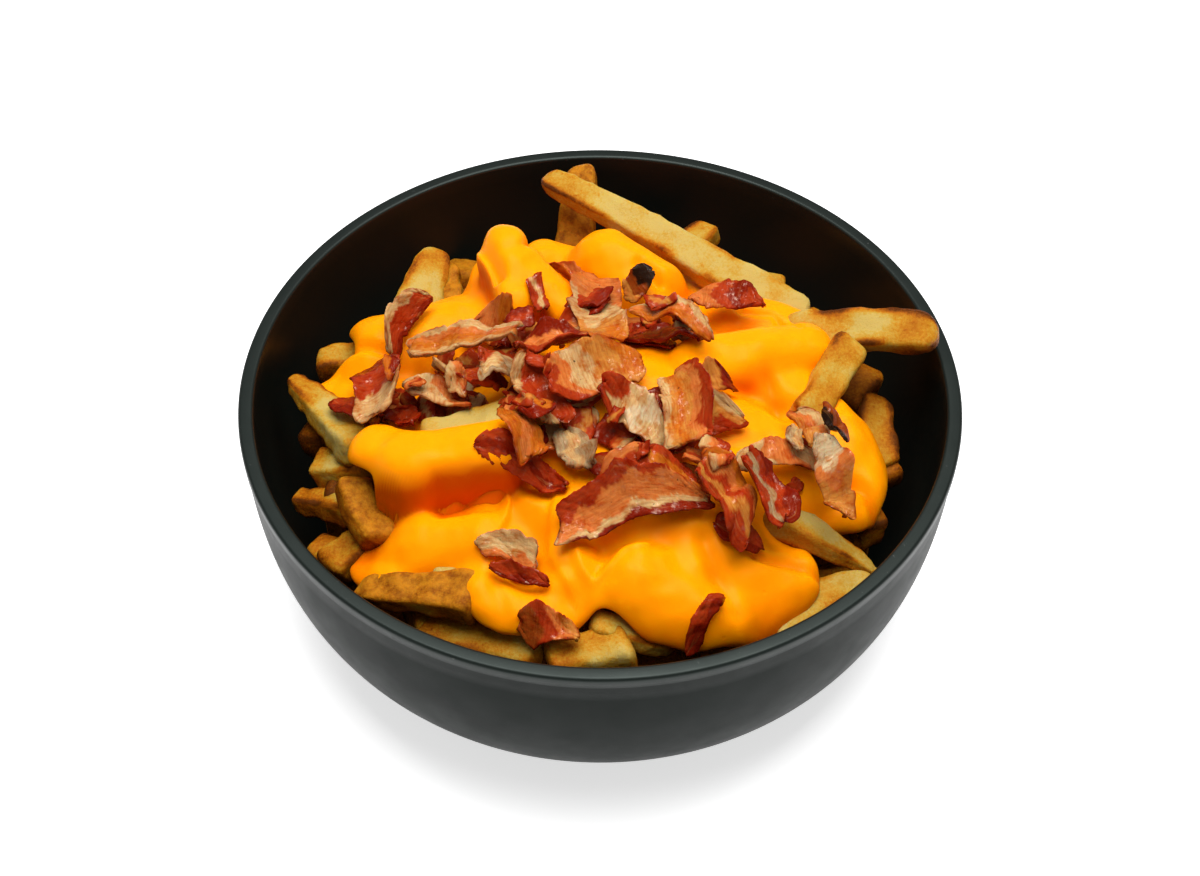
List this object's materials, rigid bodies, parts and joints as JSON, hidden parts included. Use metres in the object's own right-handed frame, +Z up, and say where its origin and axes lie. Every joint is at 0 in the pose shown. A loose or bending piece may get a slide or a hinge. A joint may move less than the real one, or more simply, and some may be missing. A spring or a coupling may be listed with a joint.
{
  "type": "cheese fries",
  "caption": "Round black bowl of thick cut fries under a poured cheese sauce, topped with crisp bacon pieces",
  "frame": {"origin": "middle of the bowl's foot, on the surface that it stands on", "axes": "+Z is up, the front of the dish faces -Y, and +X is to the right seen from the front"},
  "size_m": [0.18, 0.18, 0.093],
  "materials": {
    "bowl": "satin black glaze",
    "fries": "fried potato",
    "cheese_sauce": "soft satin sauce",
    "bacon": "crisp and greasy"
  },
  "bodies": {
    "root": {"bowl": "bowl", "fries": "fries", "cheese_sauce": "cheese_sauce", "bacon_01": "bacon", "bacon_02": "bacon", "bacon_03": "bacon", "bacon_04": "bacon", "bacon_05": "bacon", "bacon_06": "bacon", "bacon_07": "bacon", "bacon_08": "bacon", "bacon_09": "bacon", "bacon_10": "bacon", "bacon_11": "bacon", "bacon_12": "bacon", "bacon_13": "bacon", "bacon_14": "bacon", "bacon_15": "bacon", "bacon_16": "bacon", "bacon_17": "bacon", "bacon_18": "bacon", "bacon_19": "bacon", "bacon_20": "bacon", "bacon_21": "bacon", "bacon_22": "bacon", "bacon_23": "bacon", "bacon_24": "bacon", "bacon_25": "bacon", "bacon_26": "bacon", "bacon_27": "bacon", "bacon_28": "bacon", "bacon_29": "bacon", "bacon_30": "bacon", "bacon_31": "bacon", "bacon_32": "bacon", "bacon_33": "bacon", "bacon_34": "bacon", "bacon_35": "bacon", "bacon_36": "bacon", "bacon_37": "bacon", "bacon_38": "bacon", "bacon_39": "bacon", "bacon_40": "bacon", "bacon_41": "bacon", "bacon_42": "bacon", "bacon_43": "bacon", "bacon_44": "bacon"}
  },
  "joints": []
}
